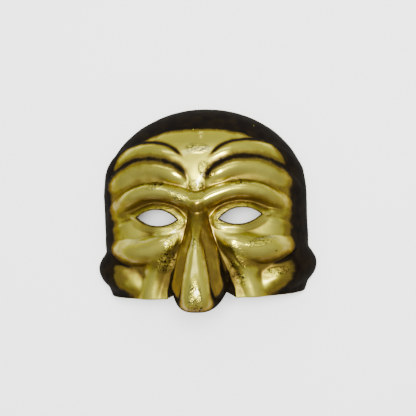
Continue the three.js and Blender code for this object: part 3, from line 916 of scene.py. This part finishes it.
class Surface:
    """Collects the mask's vertices and faces: the outside's, the inside's, then the rounded edges'."""

    def __init__(self, outer, inner, kept):
        self.points = [outer.reshape(-1, 3), inner.reshape(-1, 3)]
        self.inside = len(self.points[0])
        self.count = 2 * self.inside
        self.faces = []
        self.slots = []
        quads = corners(np.arange(self.inside).reshape(outer.shape[:2]))[kept]
        self.add(quads, LACQUER)
        self.add(quads[:, ::-1] + self.inside, BARE)

    def add(self, quads, slot):
        self.faces.append(quads)
        self.slots.append(np.full(len(quads), slot))

    def border(self):
        """The kept faces' edges that no other kept face shares, each in the direction of its face."""
        quads = self.faces[0]
        edges = np.concatenate([quads[:, [k, (k + 1) % 4]] for k in range(4)])
        code = edges[:, 0] * self.inside + edges[:, 1]
        back = edges[:, 1] * self.inside + edges[:, 0]
        return edges[~np.isin(code, back)]

    def close(self, outward):
        """Joins outside and inside along every border with a rounded edge."""
        edges = self.border()
        rim = np.unique(edges)
        a, b = self.points[0][rim], self.points[1][rim]
        middle, half = (a + b) / 2, (a - b) / 2
        bulge = outward[rim] * np.linalg.norm(half, axis=-1, keepdims=True) * EDGE_BULGE
        rings = [rim]
        for k in range(1, EDGE_STEPS):
            angle = math.pi * k / EDGE_STEPS
            rings.append(self.count + np.arange(len(rim)))
            self.points.append(middle + half * math.cos(angle) + bulge * math.sin(angle))
            self.count += len(rim)
        rings.append(rim + self.inside)
        first, second = np.searchsorted(rim, edges).T
        for k, (near, far) in enumerate(zip(rings, rings[1:])):
            quads = np.stack([near[second], near[first], far[first], far[second]], axis=-1)
            self.add(quads, LACQUER if k == 0 else BARE)

    def mesh(self, name):
        mesh = bpy.data.meshes.new(name)
        points = np.vstack(self.points) * MM
        quads = np.vstack(self.faces).astype(np.int32)
        mesh.vertices.add(len(points))
        mesh.vertices.foreach_set("co", points.astype(np.float32).ravel())
        mesh.loops.add(quads.size)
        mesh.loops.foreach_set("vertex_index", quads.ravel())
        mesh.polygons.add(len(quads))
        mesh.polygons.foreach_set("loop_start", np.arange(0, quads.size, 4, dtype=np.int32))
        mesh.polygons.foreach_set("material_index", np.concatenate(self.slots).astype(np.int32))
        mesh.polygons.foreach_set("use_smooth", np.ones(len(quads), dtype=bool))
        mesh.update(calc_edges=True)
        return mesh


def snap_to_eyes(carving, points, inner, kept):
    """Moves the border of each eye hole onto its almond, and tells the way into the hole there."""
    used = np.zeros(points.shape[:2], dtype=bool)
    lost = np.zeros(points.shape[:2], dtype=bool)
    for column in (0, 1):
        for row in (0, 1):
            span = (slice(column, column + kept.shape[0]), slice(row, row + kept.shape[1]))
            used[span] |= kept
            lost[span] |= ~kept
    edge = used & lost
    x, y = points[..., 0].copy(), points[..., 1].copy()
    step = SNAP_WIDTH
    for _ in range(SNAP_ROUNDS):
        gap = carving.eye_gap(x, y)
        gx = (carving.eye_gap(x + step, y) - carving.eye_gap(x - step, y)) / (2 * step)
        gy = (carving.eye_gap(x, y + step) - carving.eye_gap(x, y - step)) / (2 * step)
        length = np.maximum(gx**2 + gy**2, TINY)
        x = np.where(edge, x - gap * gx / length, x)
        y = np.where(edge, y - gap * gy / length, y)
    moved = np.stack([x - points[..., 0], y - points[..., 1], np.zeros(x.shape)], axis=-1)
    into_hole = -np.stack([gx, gy, np.zeros(x.shape)], axis=-1)
    return points + moved, inner + moved, np.where(edge[..., None], into_hole, 0)


def fitted_to_frame(outer, inner):
    """Outside and inside, moved and scaled so that the outside fills the plain shell's box."""
    low, high = (np.array(corner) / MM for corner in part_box(NODE))
    lowest, highest = outer.min(axis=(0, 1)), outer.max(axis=(0, 1))
    scale = (high - low) / (highest - lowest)
    return (outer - lowest) * scale + low, (inner - lowest) * scale + low


class MASK_OT_shell(bpy.types.Operator):
    """Builds the carved shell in place of the plain one"""

    bl_idname = "mask.shell"
    bl_label = "Mask shell"

    def execute(self, context):
        carving = Carving(context.scene.mask_shape)
        outer = carving.outer()
        inner = carving.inner(outer)
        kept = corners(carving.eye_gap(outer[..., 0], outer[..., 1])).sum(axis=-1) > 0
        outer, inner, outward = snap_to_eyes(carving, outer, inner, kept)
        outward[:, 0] = (0, -1, 0)  # the lip edge faces down the face
        maps = finish_maps(carving, outer)

        outer, inner = fitted_to_frame(outer, inner)
        surface = Surface(outer, inner, kept)
        surface.close(outward.reshape(-1, 3))
        mesh = surface.mesh("mask")
        for name, values in maps.items():
            on_outside = np.zeros(surface.count, dtype=np.float32)
            on_outside[:values.size] = values.ravel()
            mesh.attributes.new(name, "FLOAT", "POINT").data.foreach_set("value", on_outside)
        finish = context.scene.mask_finish
        mesh.materials.append(gold_lacquer(finish))
        mesh.materials.append(bare_moulding(finish))
        mask = bpy.data.objects.new("mask", mesh)
        context.scene.collection.objects.link(mask)
        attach(mask, "root")
        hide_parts(NODE)
        return {"FINISHED"}


class MASK_OT_studio(bpy.types.Operator):
    """Lays out the paper, the lights and the camera"""

    bl_idname = "mask.studio"
    bl_label = "Studio"

    def execute(self, context):
        studio = context.scene.mask_studio
        self.floor(context, studio)
        self.world(context)
        for softbox in SOFTBOXES:
            self.light(context, **softbox)
        self.camera(context, studio)
        return {"FINISHED"}

    @staticmethod
    def floor(context, studio):
        sheet = [(x * FLOOR_HALF, y * FLOOR_HALF, 0) for x, y in ((-1, -1), (1, -1), (1, 1), (-1, 1))]
        mesh = bpy.data.meshes.new("paper")
        mesh.from_pydata(sheet, [], [(0, 1, 2, 3)])
        mesh.materials.append(paper(studio.floor))
        floor = bpy.data.objects.new("paper", mesh)
        context.scene.collection.objects.link(floor)

    @staticmethod
    def world(context):
        """A soft dome, bright overhead and dim at the horizon."""
        world = bpy.data.worlds.new("studio")
        context.scene.world = world
        world.use_nodes = True
        tree = world.node_tree
        tree.nodes.clear()
        way = add_node(tree, "ShaderNodeTexCoord").outputs["Generated"]
        height = add_node(tree, "ShaderNodeSeparateXYZ", {0: way}).outputs["Z"]
        strength = add_node(tree, "ShaderNodeMapRange", {
            "Value": height, "To Min": DOME["horizon"], "To Max": DOME["zenith"],
        })
        dome = add_node(tree, "ShaderNodeBackground", {"Color": (1.0, 1.0, 1.0, 1.0), "Strength": strength})
        add_node(tree, "ShaderNodeOutputWorld", {"Surface": dome})

    @staticmethod
    def light(context, name, place, size, power):
        """A softbox that faces the mask."""
        lamp = bpy.data.lights.new(name, "AREA")
        lamp.shape = "RECTANGLE"
        lamp.size, lamp.size_y = size
        lamp.energy = power
        holder = bpy.data.objects.new(name, lamp)
        context.scene.collection.objects.link(holder)
        holder.location = place
        aim = Vector(LAMP_AIM) - Vector(place)
        holder.rotation_euler = aim.to_track_quat("-Z", "Y").to_euler()

    @staticmethod
    def camera(context, studio):
        """A camera that looks down on the mask."""
        camera = bpy.data.cameras.new("camera")
        camera.lens = studio.lens
        camera.sensor_width = SENSOR_WIDTH
        holder = bpy.data.objects.new("camera", camera)
        context.scene.collection.objects.link(holder)
        context.scene.camera = holder
        back = Vector((
            math.sin(studio.turn) * math.cos(studio.pitch),
            math.sin(studio.pitch),
            math.cos(studio.turn) * math.cos(studio.pitch),
        ))
        right = Vector((0, 1, 0)).cross(back).normalized()
        up = back.cross(right)
        turned_right = right * math.cos(studio.roll) - up * math.sin(studio.roll)
        turned_up = up * math.cos(studio.roll) + right * math.sin(studio.roll)
        target = Vector(studio.aim)
        rotation = Matrix((turned_right, turned_up, back)).transposed().to_4x4()
        holder.matrix_world = Matrix.Translation(target + back * studio.distance) @ rotation


class MASK_PT_panel(bpy.types.Panel):
    """Lists the mask's tools"""

    bl_idname = "MASK_PT_panel"
    bl_label = "Mask"
    bl_space_type = "VIEW_3D"
    bl_region_type = "UI"
    bl_category = "Mask"

    def draw(self, context):
        layout = self.layout
        layout.operator(MASK_OT_shell.bl_idname)
        layout.operator(MASK_OT_studio.bl_idname)
        for group in (context.scene.mask_shape, context.scene.mask_finish, context.scene.mask_studio):
            box = layout.box()
            for name in group.__annotations__:
                box.prop(group, name)


CLASSES = (MaskShape, MaskFinish, MaskStudio, MASK_OT_shell, MASK_OT_studio, MASK_PT_panel)


def register():
    for cls in CLASSES:
        bpy.utils.register_class(cls)
    bpy.types.Scene.mask_shape = bpy.props.PointerProperty(type=MaskShape)
    bpy.types.Scene.mask_finish = bpy.props.PointerProperty(type=MaskFinish)
    bpy.types.Scene.mask_studio = bpy.props.PointerProperty(type=MaskStudio)


def unregister():
    for name in ("mask_shape", "mask_finish", "mask_studio"):
        delattr(bpy.types.Scene, name)
    for cls in reversed(CLASSES):
        bpy.utils.unregister_class(cls)


def main():
    register()
    bpy.ops.mask.shell()
    bpy.ops.mask.studio()


if __name__ == "__main__":
    main()
